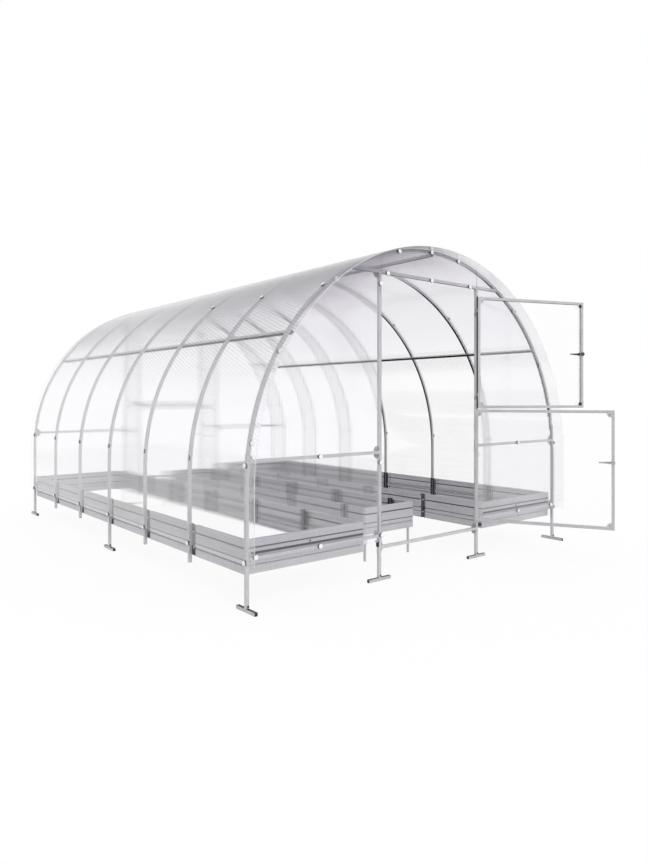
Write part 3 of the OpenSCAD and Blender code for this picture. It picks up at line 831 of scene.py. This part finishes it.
BOARD_DEEP = 0.0198  # the boards' thickness over their grooves
PLATE_THICK = 0.0012
TAB_OUT = 0.0055  # from the bracket's flat to the tab at the lap
dome, ear = dome_model(), ear_model()
for bed in ("left_bed", "centre_bed", "right_bed"):
    low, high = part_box(f"{bed}_brackets")
    # the middle of each bracket lies this far ahead of its hoop
    ahead = (hoop_y[1] - low.y) / 2
    for label, x, way in (("left", low.x, -1), ("right", high.x, 1)):
        spots = [(Vector((x, y - ahead, z)), (way, 0, 0)) for y in hoop_y[1:-1] for z in groove_heights]
        set_out(dome, spots, f"{bed}_{label}_bolts")
        spots = [(Vector((x + TAB_OUT * way, y - 1.7 * ahead, lap_z)), (way, 0, 0)) for y in hoop_y[1:-1]]
        set_out(ear, spots, f"{bed}_{label}_tabs")
    # plates that close the open ends of the side boards, inside their walls
    low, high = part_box(bed)
    plates = []
    for z0, z1 in ((low.z + 0.0004, lap_z - 0.0006), (lap_z + 0.0006, high.z - 0.0004)):
        for x in (low.x + BOARD_DEEP / 2 + 0.0002, high.x - BOARD_DEEP / 2 - 0.0002):
            for y in (low.y + 0.0007, high.y - 0.0007):
                plate = start(
                    "cube", size=1, location=(x, y, (z0 + z1) / 2), scale=(BOARD_DEEP, PLATE_THICK, z1 - z0)
                )
                pick_faces(plate, lambda c, n: abs(n.y) > 0.9)
                bpy.ops.mesh.inset(thickness=0.0015, use_individual=True)
                stop(plate, finishes["bed_steel"])
                plates.append(plate)
    corners = gather(plates, f"{bed}_corner_plates")
    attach(corners, "frame")
put_away(dome, ear)

# ---- corner discs, and seals painted dark as shade, of the door leaves ----------------------


def disc_model():
    """A dark round plug with a rolled rim over a bolt hole."""
    plug = start("cylinder", vertices=28, radius=0.0145, depth=0.002, location=(0, 0, 0.001))
    step_top(plug, (0.003, 0.0012), (0.004, -0.0008))
    stop(plug, black_plastic, smooth=40)
    soften(plug, 0.0004)
    return gather([plug], "disc_model")


LEAF_CORNER = tube + 0.011  # from the edge of a leaf to the bolt in its corner
SEAL_THICK = 0.0022
SEAL_WIDE = 0.018
disc = disc_model()
for leaf, out, along in (("lower", lower_out, lower_along), ("upper", upper_out, upper_along)):
    near, far = span(f"{leaf}_leaf_frame", along)
    back = span(f"{leaf}_leaf_frame", out)[0]
    low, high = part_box(f"{leaf}_leaf_frame")
    at_hinge, at_latch = (
        [
            (along * reach + out * back + Vector((0, 0, z)), -out)
            for z in (low.z + LEAF_CORNER, high.z - LEAF_CORNER)
        ]
        for reach in (near + LEAF_CORNER, far - LEAF_CORNER)
    )
    # the upper leaf has plugs over the bolts of its free edge
    if leaf == "upper":
        set_out(disc, at_latch, "upper_leaf_discs", body="upper_leaf")
        set_out(bolt, at_hinge, "upper_leaf_bolts", body="upper_leaf")
    else:
        set_out(bolt, at_hinge + at_latch, "lower_leaf_bolts", body="lower_leaf")
    # a hollowed dark rubber strip along the hinge edge, thinner than the hinge plates over it, painted in as
    # the shade of that edge
    shade_seal = start("cube", size=1, location=(0, 0, 0), scale=(SEAL_THICK, SEAL_WIDE, high.z - low.z - 0.006))
    pick_faces(shade_seal, lambda c, n: n.x < -0.9)
    bpy.ops.mesh.inset(thickness=0.003)
    bpy.ops.transform.translate(value=(0.0009, 0, 0))
    stop(shade_seal, seal_rubber)
    soften(shade_seal, 0.0007)
    turn = Matrix((along, out, (0, 0, 1))).transposed().to_4x4()
    spot = along * (near - 0.0012) + out * (back + 0.012) + Vector((0, 0, (low.z + high.z) / 2))
    shade_seal.data.transform(Matrix.Translation(spot) @ turn)
    shade_seal.name = f"{leaf}_leaf_seal"
    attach(shade_seal, f"{leaf}_leaf")
put_away(bolt, disc)

# ---- black ends beside the door posts -------------------------------------------------------


def end_block(name, low, high):
    """A square moulded end with a stepped rim."""
    block = start_block(low, high)
    pick_faces(block, lambda c, n: abs(n.y) > 0.9)
    bpy.ops.mesh.inset(thickness=0.002, use_individual=True)
    bpy.ops.mesh.extrude_region_shrink_fatten(TRANSFORM_OT_shrink_fatten={"value": -0.001})
    stop(block, black_plastic)
    soften(block, 0.001)
    block.name = name
    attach(block, "frame")


# 8 mm wide beside the left posts and 41.5 mm beside the right ones
for label, y in (("front", hoop_y[0]), ("rear", hoop_y[-1])):
    end_block(
        f"{label}_left_post_block",
        (left_post_x - half - 0.0085, y - half, threshold_z + 0.005),
        (left_post_x - half - 0.0005, y + half, threshold_z + 0.035),
    )
    end_block(
        f"{label}_right_post_block",
        (right_post_x + half + 0.0005, y - half, threshold_z + 0.012),
        (right_post_x + half + 0.042, y + half, threshold_z + 0.041),
    )

# ---- plugs of the open tubes ----------------------------------------------------------------


def plug_model():
    """A square black plug pushed into the end of a 20 mm tube, with a softened rim and a sunk middle."""
    plug = start("cube", size=1, location=(0, 0, 0.0008), scale=(tube - 0.0004, tube - 0.0004, 0.0016))
    pick_faces(plug, lambda c, n: n.z > 0.9)
    bpy.ops.mesh.inset(thickness=0.0035)
    bpy.ops.mesh.extrude_region_move(TRANSFORM_OT_translate={"value": (0, 0, -0.0009)})
    stop(plug, black_plastic)
    soften(plug, 0.0005, 1)
    return gather([plug], "plug_model")


def screw_model():
    """A blackened screw head on a round flange, driven into the bottom of a post."""
    flange = start("cylinder", vertices=16, radius=0.0062, depth=0.0016, location=(0, 0, 0.0008))
    stop(flange, dark_screw)
    soften(flange, 0.0003, 1)
    head = start("cylinder", vertices=6, radius=0.0042, depth=0.0045, location=(0, 0, 0.0036))
    step_top(head, (0.0007, 0.0004))
    stop(head, dark_screw, smooth=20)
    return gather([flange, head], "screw_model")


foot_reach = -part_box("left_feet")[0].y
plug_spots, screw_spots = [], []
for mount in frame["record"]["mounts"]:
    if not mount["name"].endswith("foot"):
        continue
    foot = Vector(mount["pos_m"])
    along_foot = Vector((1, 0, 0)) if "door" in mount["name"] else Vector((0, 1, 0))
    for way in (-1, 1):
        plug_spots.append((foot + along_foot * foot_reach * way + Vector((0, 0, half)), along_foot * way))
    # a screw 12 mm over the foot, in the outer face of the post
    outward = Vector((0, 1 if foot.y > rear_plate_y - tube else -1, 0))
    screw_spots.append((foot + outward * half + Vector((0.003, 0, tube + 0.012)), outward))
plug = plug_model()
set_out(plug, plug_spots, "foot_plugs")
ridge_low, ridge_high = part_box("ridge_purlin")
ridge_spots = [
    (Vector((centre_x, y, (ridge_low.z + ridge_high.z) / 2)), (0, way, 0))
    for y, way in ((ridge_low.y, -1), (ridge_high.y, 1))
]
set_out(plug, ridge_spots, "ridge_plugs")
screw = screw_model()
set_out(screw, screw_spots, "foot_screws")
put_away(plug)

# ---- dark strips painted as the shadow over the base rail on the bed ends --------------------

SHADE_STRIP_HALF = 0.007
SHADE_STRIP_THICK = 0.002
SCREW_X = 0.465  # from the side of the house
shade_strip_z = base_rail_z + 0.0195
for bed in ("left_bed", "right_bed"):
    low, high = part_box(bed)
    screw_x = centre_x + math.copysign(centre_x - SCREW_X, low.x - centre_x)
    for label, y, way in (("front", low.y, -1), ("rear", high.y, 1)):
        near, far = sorted((y, y + way * SHADE_STRIP_THICK))
        # a dark rubber strip put in as the shadow gap between the base rail and the board
        shade_strip = start_block(
            (low.x + 0.004, near, shade_strip_z - SHADE_STRIP_HALF), (high.x - 0.004, far, shade_strip_z + SHADE_STRIP_HALF)
        )
        stop(shade_strip, gasket_rubber)
        soften(shade_strip, 0.0008)
        shade_strip.name = f"{bed}_{label}_strip"
        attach(shade_strip, "frame")
        spot = Vector((screw_x, y, shade_strip_z + 0.016))
        set_out(screw, [(spot, (0, way, 0))], f"{bed}_{label}_screw")
put_away(screw)

# ---- studio ---------------------------------------------------------------------------------


def ray_kinds(tree):
    """Whether a place is looked at straight, in a gleam, or through clear sheet, 0 or 1 each."""
    return [add(tree, "LightPath", output=f"Is {kind} Ray") for kind in ("Camera", "Glossy", "Transmission")]


def studio_floor():
    """A plain pale floor that keeps a soft shadow."""
    drop_selection()
    bpy.ops.mesh.primitive_plane_add(size=120, location=(centre_x, 2, 0))
    floor = bpy.context.object
    floor.name = "studio_floor"
    material, tree = new_material("pale_studio_floor")
    straight, gleaming, through = ray_kinds(tree)
    seen = add(tree, "Math", straight, gleaming, operation="MAXIMUM")
    seen = add(tree, "Math", seen, through, operation="MAXIMUM")
    plain = add(tree, "BsdfDiffuse", {"Color": paint("#f2f2f2")})
    white = add(tree, "Emission", {"Color": (1, 1, 1, 1), "Strength": 1.04})
    share = add(tree, "Math", seen, 0.84, operation="MULTIPLY")
    add(tree, "OutputMaterial", add(tree, "MixShader", share, plain, white))
    floor.data.materials.append(material)
    floor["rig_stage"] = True


def studio_world():
    """White for all that looks at it, darker overhead for what gleams, and even light for the rest."""
    world = bpy.data.worlds.new("studio")
    scene.world = world
    world.use_nodes = True
    tree = world.node_tree
    tree.nodes.clear()
    straight, gleaming, through = ray_kinds(tree)
    seen = add(tree, "Math", straight, through, operation="MAXIMUM")
    height = add(tree, "SeparateXYZ", add(tree, "TexCoord", output="Generated"), output="Z")
    sky = add(tree, "ValToRGB", height)
    stops = ((0.0, 1.0), (0.26, 1.0), (0.44, 0.6), (0.52, 0.42), (1.0, 0.3))
    marks = sky.node.color_ramp.elements
    while len(marks) < len(stops):
        marks.new(0.5)
    for mark, (spot, level) in zip(marks, stops):
        mark.position = spot
        mark.color = (level, level, level * 1.01, 1)
    colour = add(tree, "Mix", gleaming, (0.8, 0.8, 0.8, 1), sky, data_type="RGBA")
    colour = add(tree, "Mix", seen, colour, (1, 1, 1, 1), data_type="RGBA")
    add(tree, "OutputWorld", add(tree, "Background", {"Color": colour, "Strength": 1.0}))


def soft_lamp(name, way, strength, spread):
    """A broad distant lamp that shines along a way."""
    lamp = bpy.data.lights.new(name, "SUN")
    lamp.energy = strength
    lamp.angle = math.radians(spread)
    holder = bpy.data.objects.new(name, lamp)
    scene.collection.objects.link(holder)
    holder.rotation_euler = Vector(way).to_track_quat("-Z", "Y").to_euler()


studio_floor()
studio_world()
soft_lamp("front_lamp", (0.15, 0.85, -0.6), 0.7, 40)
scene.view_settings.view_transform = "Standard"

low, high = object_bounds()
